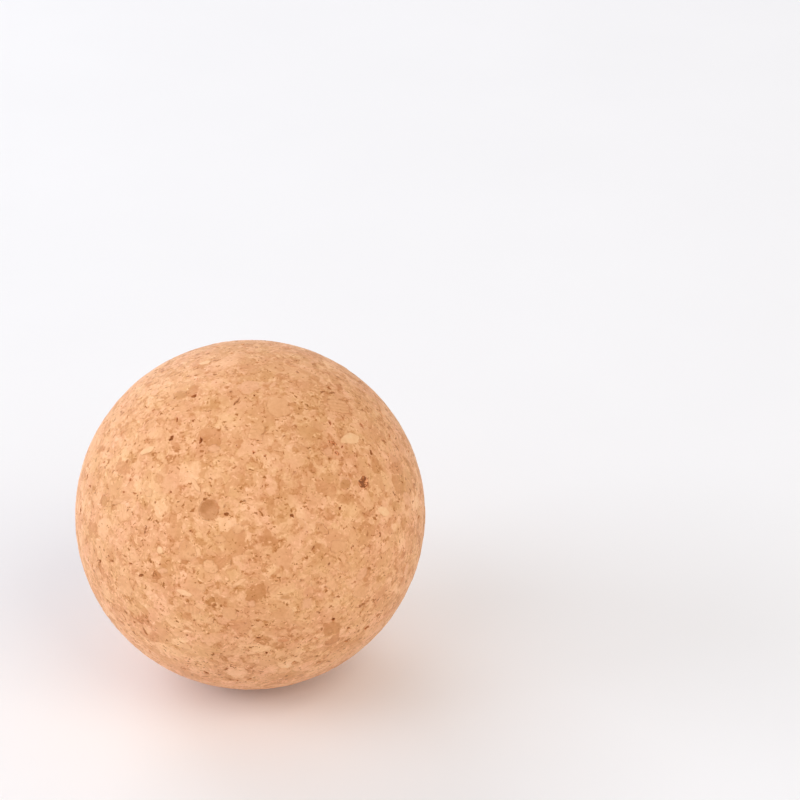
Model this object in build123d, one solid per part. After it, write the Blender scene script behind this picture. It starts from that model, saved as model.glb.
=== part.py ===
from build123d import *
from build123d.topology import SkipClean
import math
import os
import random

# Agglomerated-cork massage ball, 50 mm.
# A fine-grained cork body with the coarse granules of the agglomerate as
# separate solids bonded into pockets in it, each cut flush with the sphere.
# Frame: origin at the centre of the ball, +Z up, so it rests on z = -25.

# ---- ball and granule form, mm ----
BALL_D = 50.0
R = BALL_D / 2.0
TOP_PROUD = 0.45         # how far a granule blank stands past the sphere before it is cut flush
BULGE = 1.07             # width at a granule's waist, as a share of its surface outline
WAIST = 0.42             # depth of the waist, as a share of the granule's depth
TOE = 0.50               # width of a granule's bottom, as a share of its surface outline
DEPTH_SHARE = 0.55       # depth of a coarse granule over its mean width
DEPTH_MIN, DEPTH_MAX = 0.9, 2.4
SPECK_DEPTH = 0.8

# ---- spacing: least distance between waist outlines, mm ----
PLACED_GAP = 0.16        # around a hand-placed granule
PLACED_SPECK_GAP = 0.10
FILL_GAP = 0.30          # around a granule placed at random
FILL_SPECK_GAP = 0.12
POLE_CLEAR = 0.5         # from an outline to a pole of the sphere
SAME_SPOT = 0.3          # centres closer than this always collide
RIM_STEPS = 4            # test points along each side of an outline

# ---- random filling ----
SEED = 50
FILL_TRIES = 5200
COARSE_WANTED = 176      # coarse granules in all, hand-placed ones included
SIZE_SKEW = 1.5          # above 1 favours the small end of a size range
SPECK_TRIES = 900
SPECKS_WANTED = 62       # specks in all, hand-placed ones included
SPECK_MIN, SPECK_SPREAD, SPECK_SKEW = 0.6, 1.1, 2   # speck length, its range and skew
FILL_SPECK_WIDTH = 0.45  # least width of a speck placed at random

# ---- hand placing: sizes tried in turn until one fits, and outline seeds ----
SHRINKS = (1.0, 0.92, 0.84, 0.76, 0.68)
SPECK_SHRINKS = (1.0, 0.85, 0.7)
PLACED_SPECK_WIDTH = 0.42
SEED_STEP = 911
SPECK_SEED_STEP = 77

POCKETS_PER_CUT = 24     # pockets taken out of the body in one cut
SPECKS = "dark_bark_specks"

# hand-placed granules, which give the ball its recognisable face:
# longitude and latitude (degrees; longitude 0 faces -Y, positive towards +X),
# length, width (mm), angle of the length from east (degrees), kind, outline
PLACED = [
    (-15.3, 31.4, 3.10, 3.35, 6, "round_knot_granule", "round"),
    (51.6, 45.2, 4.30, 1.75, 163, "pale_cream_flakes", "wedge"),
    (46.6, 31.2, 2.30, 2.05, 157, "red_bark_flecks", "angular"),
    (41.9, 47.0, 1.59, 0.60, 135, "red_bark_flecks", "sliver"),
    (41.1, 43.4, 0.98, 0.60, 122, "red_bark_flecks", "sliver"),
    (23.3, 64.4, 3.60, 4.00, 164, "large_smooth_granules", "round"),
    (5.0, 56.9, 3.50, 2.43, 43, "honey_granules", "wedge"),
    (2.5, 74.4, 3.55, 2.99, 176, "pink_tan_granules", "block"),
    (40.3, 53.2, 2.21, 1.16, 149, "light_tan_granules", "oval"),
    (38.6, 33.6, 2.10, 1.90, 160, "olive_brown_granules", "round"),
    (9.8, 2.9, 2.07, 1.08, 172, "olive_brown_granules", "angular"),
    (9.0, -2.9, 3.60, 2.50, 172, "light_tan_granules", "block"),
    (9.1, -14.1, 2.12, 1.20, 170, "red_brown_slabs", "block"),
    (-50.2, 44.1, 0.94, 2.74, 135, "pale_cream_flakes", "block"),
    (-4.2, 26.0, 1.74, 1.61, 0, "honey_granules", "round"),
    (-10.9, 22.6, 1.35, 2.03, 82, "honey_granules", "angular"),
    (24.9, 5.2, 4.00, 1.90, 104, "honey_granules", "wedge"),
    (-7.4, -2.3, 2.85, 3.00, 2, "large_smooth_granules", "round"),
    (-0.4, 1.6, 1.40, 1.40, 178, "pink_tan_granules", "round"),
    (29.4, 15.8, 2.68, 2.25, 163, "large_smooth_granules", "block"),
    (30.4, 8.6, 2.70, 1.75, 146, "light_tan_granules", "block"),
    (16.8, -0.4, 2.00, 1.95, 168, "pink_tan_granules", "angular"),
    (19.7, 5.9, 1.45, 1.10, 147, "amber_brown_granules", "oval"),
    (-21.4, 17.8, 2.80, 2.90, 9, "light_tan_granules", "block"),
    (-31.0, 16.2, 1.11, 1.25, 14, "pale_cream_flakes", "round"),
    (-40.7, 11.1, 1.29, 2.50, 96, "honey_granules", "wedge"),
    (-21.9, 3.8, 1.05, 2.72, 80, "pale_slivers", "sliver"),
    (-58.7, 64.6, 3.20, 2.10, 21, "olive_brown_granules", "angular"),
    (17.6, 25.6, 2.20, 1.50, 111, "light_tan_granules", "angular"),
    (24.4, 23.0, 2.80, 1.15, 125, "amber_brown_granules", "oval"),
    (36.4, -2.6, 3.30, 2.50, 158, "light_tan_granules", "angular"),
    (76.7, 70.9, 2.11, 1.90, 129, "amber_brown_granules", "round"),
    (89.0, 40.0, 2.10, 3.60, 85, "honey_granules", "wedge"),
    (26.1, 48.6, 2.50, 1.20, 132, "amber_brown_granules", "oval"),
    (-17.2, 50.8, 1.31, 1.93, 102, "pink_tan_granules", "oval"),
    (39.6, 11.3, 1.90, 1.20, 159, "pink_tan_granules", "angular"),
    (-29.3, 9.7, 1.90, 1.16, 14, "pink_tan_granules", "oval"),
    (-79.9, 59.0, 2.14, 1.76, 39, "pink_tan_granules", "round"),
    (-62.7, 43.7, 2.07, 1.70, 68, "light_tan_granules", "angular"),
    (50.8, 19.9, 1.41, 2.80, 49, "pale_cream_flakes", "oval"),
    (36.9, 44.9, 1.80, 1.60, 160, "pink_tan_granules", "wedge"),
    (6.4, 6.4, 1.40, 2.05, 97, "striated_flakes", "block"),
    (62.6, 55.4, 3.60, 2.60, 146, "striated_flakes", "block"),
    (-19.6, -1.6, 1.50, 2.40, 67, "striated_flakes", "block"),
    (14.2, -7.9, 3.50, 1.40, 152, "striated_flakes", "block"),
    (-52.1, 26.2, 1.26, 4.20, 125, "striated_flakes", "wedge"),
    (11.4, 83.0, 3.00, 2.10, 176, "light_tan_granules", "oval"),
]

# hand-placed bark specks: longitude, latitude, length, width, angle
PLACED_SPECKS = [
    (-8.8, 68.4, 2.18, 0.59, 61), (-16.5, 72.2, 0.75, 0.69, 37), (-13.0, 58.0, 1.40, 0.45, 126),
    (-2.0, 34.5, 0.87, 0.50, 144), (15.4, 7.9, 0.85, 0.73, 169), (69.4, 59.9, 1.64, 0.61, 151),
    (51.0, 49.4, 1.05, 0.45, 164), (26.9, 45.2, 1.24, 0.45, 144), (19.1, 54.0, 0.74, 0.45, 19),
    (18.6, 41.6, 1.28, 0.45, 29), (-37.8, 20.9, 1.97, 0.59, 85), (-41.5, 20.2, 0.61, 0.46, 18),
    (-9.4, 33.0, 0.80, 0.54, 63), (-6.8, 15.3, 0.98, 0.45, 85), (-13.0, 0.7, 1.55, 0.72, 27),
    (-2.8, -5.6, 0.60, 0.52, 179), (-46.0, -11.8, 1.18, 0.85, 112), (-39.2, -16.2, 2.31, 0.66, 103),
    (24.9, 11.2, 0.64, 0.60, 165), (26.6, -0.9, 1.03, 0.60, 1), (39.4, -7.4, 0.94, 0.57, 161),
    (41.9, 40.6, 0.75, 0.55, 105), (-57.3, 37.8, 0.61, 0.83, 24), (41.5, 22.9, 0.70, 0.46, 147),
    (46.7, -17.0, 1.60, 0.85, 169), (37.8, -19.8, 0.98, 0.90, 30), (20.4, -4.6, 0.62, 0.55, 166),
    (-2.4, -10.6, 1.42, 0.46, 129), (-3.3, -17.2, 0.73, 0.50, 149),
]

# the coarse granules between the hand-placed ones: kind, share, length range (mm), outlines
MIX = [
    ("light_tan_granules", 0.24, (1.9, 3.6), ("block", "angular", "round", "wedge")),
    ("honey_granules", 0.20, (1.8, 3.4), ("wedge", "angular", "round")),
    ("pink_tan_granules", 0.15, (1.7, 3.0), ("round", "block", "oval")),
    ("large_smooth_granules", 0.07, (3.2, 4.6), ("round", "block")),
    ("amber_brown_granules", 0.10, (1.7, 2.9), ("oval", "angular", "round")),
    ("striated_flakes", 0.07, (2.2, 3.9), ("block", "wedge")),
    ("olive_brown_granules", 0.05, (1.7, 2.6), ("angular", "round")),
    ("pale_slivers", 0.05, (1.9, 3.3), ("sliver",)),
    ("pale_cream_flakes", 0.04, (1.7, 2.6), ("wedge", "oval")),
    ("red_brown_slabs", 0.03, (1.7, 2.3), ("block",)),
]

# outlines: number of corners, range of width over length in the random filling, corner scatter
SHAPES = {
    "round": (8, (0.86, 1.0), 0.06),
    "block": (6, (0.66, 0.88), 0.12),
    "angular": (6, (0.60, 0.85), 0.20),
    "wedge": (5, (0.50, 0.72), 0.16),
    "oval": (8, (0.50, 0.68), 0.07),
    "sliver": (6, (0.28, 0.36), 0.08),
    "speck": (5, (0.3, 0.8), 0.14),
}
TURN_SCATTER = 4         # scatter of a corner's angle over that of its reach
TURN_SCATTER_MAX = 0.55  # limit of the angle scatter, as a share of the corner spacing
WEDGE_MID, WEDGE_TAPER = 1.15, 0.55   # width factor halfway along, and its fall to the tip
BLOCK_SQUARE = 0.65      # how strongly a block's outline is pushed towards a rectangle
BLOCK_BASE = 1 - BLOCK_SQUARE


# ---- granules ----
def outline(shape, length, width, draw):
    """Corners of a granule's surface outline, about its centre, length along x."""
    corners, _, scatter = SHAPES[shape]
    turn_scatter = min(TURN_SCATTER_MAX, TURN_SCATTER * scatter)
    start = draw.uniform(0, 2 * math.pi / corners)
    points = []
    for i in range(corners):
        turn = start + 2 * math.pi * (i + draw.uniform(-0.5, 0.5) * turn_scatter) / corners
        reach = 1.0 + draw.uniform(-scatter, scatter)
        x = 0.5 * length * reach * math.cos(turn)
        y = 0.5 * width * reach * math.sin(turn)
        if shape == "wedge":
            y *= WEDGE_MID - WEDGE_TAPER * (x / (0.5 * length))
        if shape == "block":
            squareness = max(abs(math.cos(turn)), abs(math.sin(turn)))
            pull = BLOCK_BASE + BLOCK_SQUARE * squareness
            x, y = x / pull, y / pull
        points.append((x, y))
    return points


def sides_of(points):
    """Each corner paired with the next one round."""
    return zip(points, points[1:] + points[:1])


def closed_solid(faces):
    """Solid bounded by the faces, turned right side out."""
    solid = Solid(Shell(faces))
    return solid if solid.volume > 0 else Solid(Shell([-face for face in faces]))


class Granule:
    """A granule or speck at its place on the sphere."""

    def __init__(self, node, lon, lat, turn, points, depth):
        self.node, self.points, self.depth = node, points, depth
        a, b = math.radians(lon), math.radians(lat)
        self.outward = Vector(math.cos(b) * math.sin(a), -math.cos(b) * math.cos(a), math.sin(b))
        a = math.atan2(self.outward.X, -self.outward.Y)
        east = Vector(math.cos(a), math.sin(a), 0.0)
        north = self.outward.cross(east)
        a = math.radians(turn)
        self.lengthwise = east * math.cos(a) + north * math.sin(a)
        self.across = self.outward.cross(self.lengthwise)
        self.waist = [(x * BULGE, y * BULGE) for x, y in points]
        self.reach = max(math.hypot(x, y) for x, y in self.waist)
        # test points round the waist outline, laid on the tangent plane
        self.rim = []
        for (x0, y0), (x1, y1) in sides_of(self.waist):
            for k in range(RIM_STEPS):
                t = k / RIM_STEPS
                self.rim.append(self.point(x0 + (x1 - x0) * t, y0 + (y1 - y0) * t, R))

    def point(self, x, y, z):
        """Point z out from the ball's centre, x lengthwise and y across."""
        return self.outward * z + self.lengthwise * x + self.across * y

    def holds(self, spot, gap):
        """Whether the spot, seen along this granule's normal, is inside its waist plus gap."""
        offset = spot - self.outward * R
        x, y = offset.dot(self.lengthwise), offset.dot(self.across)
        inside, nearest = True, math.inf
        for (x0, y0), (x1, y1) in sides_of(self.waist):
            dx, dy = x1 - x0, y1 - y0
            if dx * (y - y0) - dy * (x - x0) < 0:
                inside = False
            t = max(0.0, min(1.0, ((x - x0) * dx + (y - y0) * dy) / (dx * dx + dy * dy)))
            nearest = min(nearest, math.hypot(x - x0 - t * dx, y - y0 - t * dy))
        return inside or nearest < gap

    def hits(self, other, gap):
        apart = (self.outward - other.outward).length * R
        if apart > self.reach + other.reach + gap:
            return False
        if apart < SAME_SPOT:
            return True
        return (any(self.holds(spot, gap) for spot in other.rim)
                or any(other.holds(spot, gap) for spot in self.rim))

    def clears_poles(self):
        for z in (1, -1):
            pole = Vector(0, 0, z)
            near = (self.outward - pole).length * R < self.reach + POLE_CLEAR
            if near and self.holds(pole * R, POLE_CLEAR):
                return False
        return True

    def blank(self):
        """The solid before it is cut flush: proud of the sphere, bellied out below it."""
        # the outline holds where its farthest corner meets the sphere
        reach = max(math.hypot(x, y) for x, y in self.points)
        drop = R - math.sqrt(R * R - reach * reach)
        slope = (BULGE - 1.0) / (WAIST * self.depth)
        levels = (
            (R + TOP_PROUD, 1.0 - slope * (TOP_PROUD + drop)),
            (R - drop - WAIST * self.depth, BULGE),
            (R - drop - self.depth, TOE),
        )
        rings = [[self.point(x * scale, y * scale, z) for x, y in self.points]
                 for z, scale in levels]
        faces = [Face(Wire.make_polygon(rings[0])), Face(Wire.make_polygon(rings[-1]))]
        for upper, lower in zip(rings, rings[1:]):
            for (a, b), (c, d) in zip(sides_of(upper), sides_of(lower)):
                faces.append(Face(Wire.make_polygon([a, b, d, c])))
        return closed_solid(faces)


# ---- placing ----
rng = random.Random(SEED)
taken = []


def place(granule, gap):
    """Keep the granule if it clears the poles and all those already taken."""
    if not granule.clears_poles() or any(granule.hits(other, gap) for other in taken):
        return False
    taken.append(granule)
    return True


def coarse_depth(length, width):
    return max(DEPTH_MIN, min(DEPTH_MAX, DEPTH_SHARE * math.sqrt(length * width)))


def place_by_hand(node, shape, lon, lat, length, width, turn, depth,
                  shrinks, seed_step, gap, least_width=0.0):
    """Place at the largest size that fits; one that fits at no size is left out."""
    if width > length:
        length, width, turn = width, length, turn + 90
    seed = int(lon * 10) * seed_step + int(lat * 10)
    for shrink in shrinks:
        points = outline(shape, length * shrink, max(least_width, width * shrink),
                         random.Random(seed))
        if place(Granule(node, lon, lat, turn, points, depth), gap):
            return


def random_spot():
    """Longitude and latitude spread evenly over the sphere, and a turn."""
    lon = rng.uniform(-180, 180)
    lat = math.degrees(math.asin(rng.uniform(-1, 1)))
    return lon, lat, rng.uniform(0, 180)


def speck_count():
    return sum(granule.node == SPECKS for granule in taken)


def draw_candidate():
    """Kind, outline, length, width and spot of one coarse granule to try."""
    pick = rng.random()
    for node, share, (low, high), shapes in MIX:
        if pick <= share:
            break
        pick -= share
    length = low + (high - low) * rng.random() ** SIZE_SKEW
    shape = rng.choice(shapes)
    spot = random_spot()
    narrow, wide = SHAPES[shape][1]
    width = length * (narrow + (wide - narrow) * rng.random())
    return node, shape, length, width, spot


def fill_coarse():
    # all candidates are drawn before the first outline, which fixes the random sequence
    candidates = [draw_candidate() for _ in range(FILL_TRIES)]
    for node, shape, length, width, spot in candidates:
        if len(taken) - speck_count() >= COARSE_WANTED:
            break
        points = outline(shape, length, width, rng)
        place(Granule(node, *spot, points, coarse_depth(length, width)), FILL_GAP)


def fill_specks():
    for _ in range(SPECK_TRIES):
        if speck_count() >= SPECKS_WANTED:
            break
        length = SPECK_MIN + SPECK_SPREAD * rng.random() ** SPECK_SKEW
        width = max(FILL_SPECK_WIDTH, length * rng.uniform(*SHAPES["speck"][1]))
        points = outline("speck", length, width, rng)
        place(Granule(SPECKS, *random_spot(), points, SPECK_DEPTH), FILL_SPECK_GAP)


for lon, lat, length, width, turn, node, shape in PLACED:
    place_by_hand(node, shape, lon, lat, length, width, turn, coarse_depth(length, width),
                  SHRINKS, SEED_STEP, PLACED_GAP)
for speck in PLACED_SPECKS:
    place_by_hand(SPECKS, "speck", *speck, SPECK_DEPTH,
                  SPECK_SHRINKS, SPECK_SEED_STEP, PLACED_SPECK_GAP, PLACED_SPECK_WIDTH)
fill_coarse()
fill_specks()


# ---- solids ----
def six_patch_ball():
    """The sphere as six equal patches, like a blown-up cube, each with a rim of its own."""
    far = 2 * R
    tip = Vector(0, 0, 0)
    base = [Vector(far, y, z) for y, z in ((-far, -far), (far, -far), (far, far), (-far, far))]
    sides = [Face(Wire.make_polygon([tip, a, b])) for a, b in sides_of(base)]
    pyramid = closed_solid([Face(Wire.make_polygon(base))] + sides)
    # half a turn first, so that the sphere's own seam stays off the patch
    wedge = (Rot(0, 0, 180) * Sphere(R)) & pyramid
    patch = [face for face in wedge.faces() if face.geom_type == GeomType.SPHERE][0]
    turns = [Rot(0, 0, 90 * i) for i in range(4)] + [Rot(0, 90, 0), Rot(0, -90, 0)]
    return Solid(Shell([turn * patch for turn in turns]))


def fine_cork_body(ball, blanks):
    """The ball less its pockets, cut a few at a time to keep every cut small and exact."""
    body = ball
    with SkipClean():
        for k in range(0, len(blanks), POCKETS_PER_CUT):
            body = body - blanks[k : k + POCKETS_PER_CUT]
    assert len(body.solids()) == 1
    return body.solids()[0]


def cut_flush(ball, blanks):
    """The part of each blank inside the ball, as one shape."""
    pieces = []
    for blank in blanks:
        pieces.extend((blank & ball).solids())
    return Compound(children=pieces) if len(pieces) > 1 else pieces[0]


ball = six_patch_ball()
blanks_by_kind = {}
for granule in taken:
    blanks_by_kind.setdefault(granule.node, []).append(granule.blank())
all_blanks = [blank for group in blanks_by_kind.values() for blank in group]

os.makedirs("parts", exist_ok=True)
export_step(fine_cork_body(ball, all_blanks), "parts/fine_cork_body.step")
for node, group in blanks_by_kind.items():
    export_step(cut_flush(ball, group), "parts/" + node + ".step")
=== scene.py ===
"""A ball of pressed cork, 50 mm across, centred on the origin with +Z up.

Its body is a sphere of fine cork mosaic. Larger granules, flakes and specks are let into
pockets in its skin, and small open pores are cut between them. Lengths are in mm and are
turned into metres when a mesh is made.
"""
import math
from typing import NamedTuple

import bmesh
import bpy
import numpy as np
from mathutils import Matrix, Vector, noise
from mathutils.geometry import delaunay_2d_cdt
from mathutils.kdtree import KDTree


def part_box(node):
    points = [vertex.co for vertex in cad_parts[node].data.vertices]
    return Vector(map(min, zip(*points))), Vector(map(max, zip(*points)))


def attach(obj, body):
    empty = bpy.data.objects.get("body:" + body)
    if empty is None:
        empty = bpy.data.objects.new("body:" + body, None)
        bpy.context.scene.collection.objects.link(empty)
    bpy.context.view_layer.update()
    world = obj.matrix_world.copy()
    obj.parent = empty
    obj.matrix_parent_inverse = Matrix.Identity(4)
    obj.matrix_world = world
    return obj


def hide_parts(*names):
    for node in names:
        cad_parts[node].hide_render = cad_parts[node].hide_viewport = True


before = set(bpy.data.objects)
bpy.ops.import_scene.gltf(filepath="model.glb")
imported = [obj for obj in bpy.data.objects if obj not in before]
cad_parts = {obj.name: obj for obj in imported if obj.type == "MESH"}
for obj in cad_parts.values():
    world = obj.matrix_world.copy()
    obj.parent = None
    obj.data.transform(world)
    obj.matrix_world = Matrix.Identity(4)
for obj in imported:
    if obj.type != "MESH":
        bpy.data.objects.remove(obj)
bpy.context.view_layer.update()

MILLIMETRE = 0.001            # in metres
RADIUS = 25.0                 # of the ball
CUBE_QUADS = 176              # along one edge of the blown-up cube the skin starts from
POCKET_GAP = 0.014            # air between a granule and its pocket
SEED = 50
BODY = "fine_cork_body"

cad_low, cad_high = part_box(BODY)
assert abs((cad_high.z - cad_low.z) / MILLIMETRE - 2 * RADIUS) < 0.05
scene = bpy.context.scene


# ------------------------------------------------------------------ small tools
def unit(vectors):
    vectors = np.asarray(vectors, float)
    return vectors / np.linalg.norm(vectors, axis=-1, keepdims=True)


def new_mesh(name, verts, faces):
    """A mesh object from corners in mm."""
    mesh = bpy.data.meshes.new(name)
    mesh.from_pydata((np.asarray(verts, float) * MILLIMETRE).tolist(), [], faces)
    mesh.update()
    piece = bpy.data.objects.new(name, mesh)
    scene.collection.objects.link(piece)
    return piece


def verts_of(mesh):
    """A mesh's corners in mm."""
    coords = np.empty(len(mesh.vertices) * 3, np.float32)
    mesh.vertices.foreach_get("co", coords)
    return coords.reshape(-1, 3).astype(float) / MILLIMETRE


def smooth_noise(points, scale, seed):
    """Smooth noise, about -1 to 1, at each point."""
    offset = Vector((seed * 13.7, seed * 7.3, seed * 3.1))
    return np.array([noise.noise(Vector(point) * scale + offset) for point in points])


# ------------------------------------------------------------------ node trees as formulas
def operator(operation, swapped=False):
    def apply(self, other):
        first, second = (other, self) if swapped else (self, other)
        return self.nodes.math(operation, first, second)
    return apply


class Value:
    """A node output that can stand in a formula: each operator adds one Math node."""

    def __init__(self, nodes, socket):
        self.nodes = nodes
        self.socket = socket

    __add__ = operator("ADD")
    __radd__ = operator("ADD", swapped=True)
    __sub__ = operator("SUBTRACT")
    __rsub__ = operator("SUBTRACT", swapped=True)
    __mul__ = operator("MULTIPLY")
    __truediv__ = operator("DIVIDE")
    __gt__ = operator("GREATER_THAN")


class NodeWriter:
    """Adds nodes to a tree, for geometry and materials alike."""

    def __init__(self, tree):
        self.tree = tree

    def node(self, kind, **props):
        node = self.tree.nodes.new(kind)
        for name, setting in props.items():
            setattr(node, name, setting)
        return node

    def put(self, socket, value):
        """Links an output to a socket, or sets the socket to a constant."""
        if isinstance(value, Value):
            value = value.socket
        if isinstance(value, bpy.types.NodeSocket):
            self.tree.links.new(value, socket)
        elif value is not None:
            socket.default_value = value

    def math(self, operation, first, second=None, clamp=False):
        node = self.node("ShaderNodeMath", operation=operation, use_clamp=clamp)
        self.put(node.inputs[0], first)
        self.put(node.inputs[1], second)
        return Value(self, node.outputs[0])

    def vec(self, operation, first, second=None, scale=None):
        node = self.node("ShaderNodeVectorMath", operation=operation)
        self.put(node.inputs[0], first)
        self.put(node.inputs[1], second)
        if scale is not None:
            self.put(node.inputs["Scale"], scale)
        output = "Value" if operation in ("DOT_PRODUCT", "LENGTH") else "Vector"
        return Value(self, node.outputs[output])

    def noise(self, place, scale, detail=2.0, rough=0.5, distortion=0.0, output=0):
        node = self.node("ShaderNodeTexNoise", noise_dimensions="3D")
        self.put(node.inputs["Vector"], place)
        node.inputs["Scale"].default_value = scale
        node.inputs["Detail"].default_value = detail
        node.inputs["Roughness"].default_value = rough
        node.inputs["Distortion"].default_value = distortion
        return Value(self, node.outputs[output])

    def centred(self, colour):
        """A colour as a vector about zero."""
        return self.vec("SUBTRACT", colour, (0.5, 0.5, 0.5))

    def warp(self, space, place, amount, **noise_settings):
        """A space pushed about by the noise found at a place."""
        push = self.centred(self.noise(place, output="Color", **noise_settings))
        return self.vec("ADD", space, self.vec("SCALE", push, scale=amount))

    def voronoi(self, space, scale, feature):
        node = self.node("ShaderNodeTexVoronoi", voronoi_dimensions="3D", feature=feature)
        self.put(node.inputs["Vector"], space)
        node.inputs["Scale"].default_value = scale
        node.inputs["Randomness"].default_value = 1.0
        return node

    def cells(self, space, scale):
        """Distance to the nearest cell's middle, and that cell's random colour."""
        node = self.voronoi(space, scale, "F1")
        return Value(self, node.outputs["Distance"]), Value(self, node.outputs["Color"])

    def cell_edge(self, space, scale):
        node = self.voronoi(space, scale, "DISTANCE_TO_EDGE")
        return Value(self, node.outputs["Distance"])

    def split(self, colour):
        node = self.node("ShaderNodeSeparateXYZ")
        self.put(node.inputs[0], colour)
        return [Value(self, output) for output in node.outputs]

    def combine(self, *parts):
        node = self.node("ShaderNodeCombineXYZ")
        for socket, part in zip(node.inputs, parts):
            self.put(socket, part)
        return Value(self, node.outputs[0])

    def step(self, value, between, to=(0.0, 1.0), smooth=True):
        """The value mapped from one span to another, held outside."""
        kind = "SMOOTHSTEP" if smooth else "LINEAR"
        node = self.node("ShaderNodeMapRange", interpolation_type=kind, clamp=True)
        self.put(node.inputs["Value"], value)
        self.put(node.inputs["From Min"], between[0])
        self.put(node.inputs["From Max"], between[1])
        self.put(node.inputs["To Min"], to[0])
        self.put(node.inputs["To Max"], to[1])
        return Value(self, node.outputs[0])

    def mix(self, factor, low, high, kind="FLOAT"):
        # where each kind has its first input, and its output
        first, output = {"FLOAT": (2, 0), "VECTOR": (4, 1), "RGBA": (6, 2)}[kind]
        node = self.node("ShaderNodeMix", data_type=kind)
        self.put(node.inputs[0], factor)
        self.put(node.inputs[first], low)
        self.put(node.inputs[first + 1], high)
        return Value(self, node.outputs[output])

    def ramp(self, factor, stops):
        node = self.node("ShaderNodeValToRGB")
        elements = node.color_ramp.elements
        while len(elements) > 1:
            elements.remove(elements[-1])
        for i, (position, colour) in enumerate(stops):
            element = elements[0] if i == 0 else elements.new(position)
            element.position = position
            element.color = (*colour, 1.0)
        self.put(node.inputs[0], factor)
        return Value(self, node.outputs[0])

    def curve(self, value, stops, low, high):
        """A value drawn through stops of (place 0..1, value between low and high)."""
        greys = [(place, ((stop - low) / (high - low),) * 3) for place, stop in stops]
        return self.ramp(value, greys) * (high - low) + low

    def attribute(self, name):
        node = self.node("ShaderNodeAttribute", attribute_name=name)
        return Value(self, node.outputs["Fac"])


# ------------------------------------------------------------------ the body's mosaic
def granule_field(nodes, place):
    """The pressed mosaic: each granule's random colour, the distance to its edge, and the
    warped space it lies in."""
    space = nodes.warp(place, place, amount=2.3, scale=0.55, detail=3.0, rough=0.55)
    space = nodes.warp(space, place, amount=0.34, scale=2.1, detail=1.0, rough=0.5)
    # a second, stretched space, so that part of the granules are long and thin
    stretched = nodes.vec("MULTIPLY", space, (1.0, 0.62, 1.25))
    layers = []
    for layer_space, scale in ((space, 0.40), (stretched, 0.86), (space, 1.75)):
        _, colour = nodes.cells(layer_space, scale)
        layers.append((colour, nodes.cell_edge(layer_space, scale) / scale))
    (big_colour, big_edge), (mid_colour, mid_edge), (small_colour, small_edge) = layers
    is_big = nodes.split(big_colour)[2] > 0.70
    is_mid = nodes.split(mid_colour)[2] > 0.40
    edge = nodes.mix(is_big, nodes.mix(is_mid, small_edge, mid_edge), big_edge)
    lesser = nodes.mix(is_mid, small_colour, mid_colour, kind="VECTOR")
    colour = nodes.mix(is_big, lesser, big_colour, kind="VECTOR")
    # the line round a big granule also holds where its neighbours are small
    edge = nodes.math("MINIMUM", edge, big_edge + (1.0 - is_big) * 0.05)
    return colour, edge, space


def relief(nodes, place, colour, edge):
    """Height of the skin over the sphere: granules proud or low, with soft joints."""
    _, green, _ = nodes.split(colour)
    level = (green - 0.5) * 0.050
    joint = nodes.step(edge, between=(0.0, 0.16), to=(1.0, 0.0)) * -0.035
    swell = nodes.noise(place, scale=0.35, detail=2.0, rough=0.5)
    fine = nodes.noise(place, scale=2.6, detail=3.0, rough=0.6)
    return level + joint + (swell - 0.5) * 0.10 + (fine - 0.5) * 0.045 - 0.045


def evaluate_field(points):
    """Runs the granule field over points and gives back arrays: height, edge distance."""
    probe = new_mesh("probe", points, [])
    mesh = probe.data
    tree = bpy.data.node_groups.new("granule_probe", "GeometryNodeTree")
    for way in ("INPUT", "OUTPUT"):
        tree.interface.new_socket("Geometry", in_out=way, socket_type="NodeSocketGeometry")
    nodes = NodeWriter(tree)
    geometry = nodes.node("NodeGroupInput").outputs[0]
    group_output = nodes.node("NodeGroupOutput")
    position = nodes.node("GeometryNodeInputPosition").outputs[0]
    place = nodes.vec("SCALE", position, scale=1 / MILLIMETRE)
    colour, edge, _ = granule_field(nodes, place)
    fields = {"height": relief(nodes, place, colour, edge), "edge": edge}
    for name, value in fields.items():
        store = nodes.node("GeometryNodeStoreNamedAttribute", data_type="FLOAT", domain="POINT")
        store.inputs["Name"].default_value = name
        nodes.put(store.inputs["Geometry"], geometry)
        nodes.put(store.inputs["Value"], value)
        geometry = store.outputs["Geometry"]
    nodes.put(group_output.inputs[0], geometry)
    probe.modifiers.new("probe", "NODES").node_group = tree
    evaluated = probe.evaluated_get(bpy.context.evaluated_depsgraph_get())
    results = []
    for name in fields:
        array = np.empty(len(mesh.vertices), np.float32)
        evaluated.data.attributes[name].data.foreach_get("value", array)
        results.append(array.astype(float))
    bpy.data.objects.remove(probe)
    bpy.data.meshes.remove(mesh)
    bpy.data.node_groups.remove(tree)
    return results


# ------------------------------------------------------------------ the CAD granules
class Solid(NamedTuple):
    rim: np.ndarray               # unit vectors round its outline on the ball, in order
    depth: float


def welded(mesh):
    """A mesh's corners and triangles, with corners at one place made one."""
    coords = verts_of(mesh)
    _, first, weld = np.unique(np.round(coords, 4), axis=0, return_index=True,
                               return_inverse=True)
    weld = weld.ravel()
    mesh.calc_loop_triangles()
    tris = np.empty(len(mesh.loop_triangles) * 3, np.int32)
    mesh.loop_triangles.foreach_get("vertices", tris)
    tris = weld[tris.reshape(-1, 3)]
    whole = ((tris[:, 0] != tris[:, 1]) & (tris[:, 1] != tris[:, 2])
             & (tris[:, 2] != tris[:, 0]))
    return coords[first], tris[whole]


def connected(count, tris):
    """For each corner, a number shared by all corners it is joined to."""
    parent = np.arange(count)

    def find(i):
        while parent[i] != i:
            parent[i] = parent[parent[i]]
            i = parent[i]
        return i

    for first, second, third in tris:
        root, second_root, third_root = find(first), find(second), find(third)
        parent[second_root] = root
        parent[find(third_root)] = find(root)
    return np.array([find(i) for i in range(count)])


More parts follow.
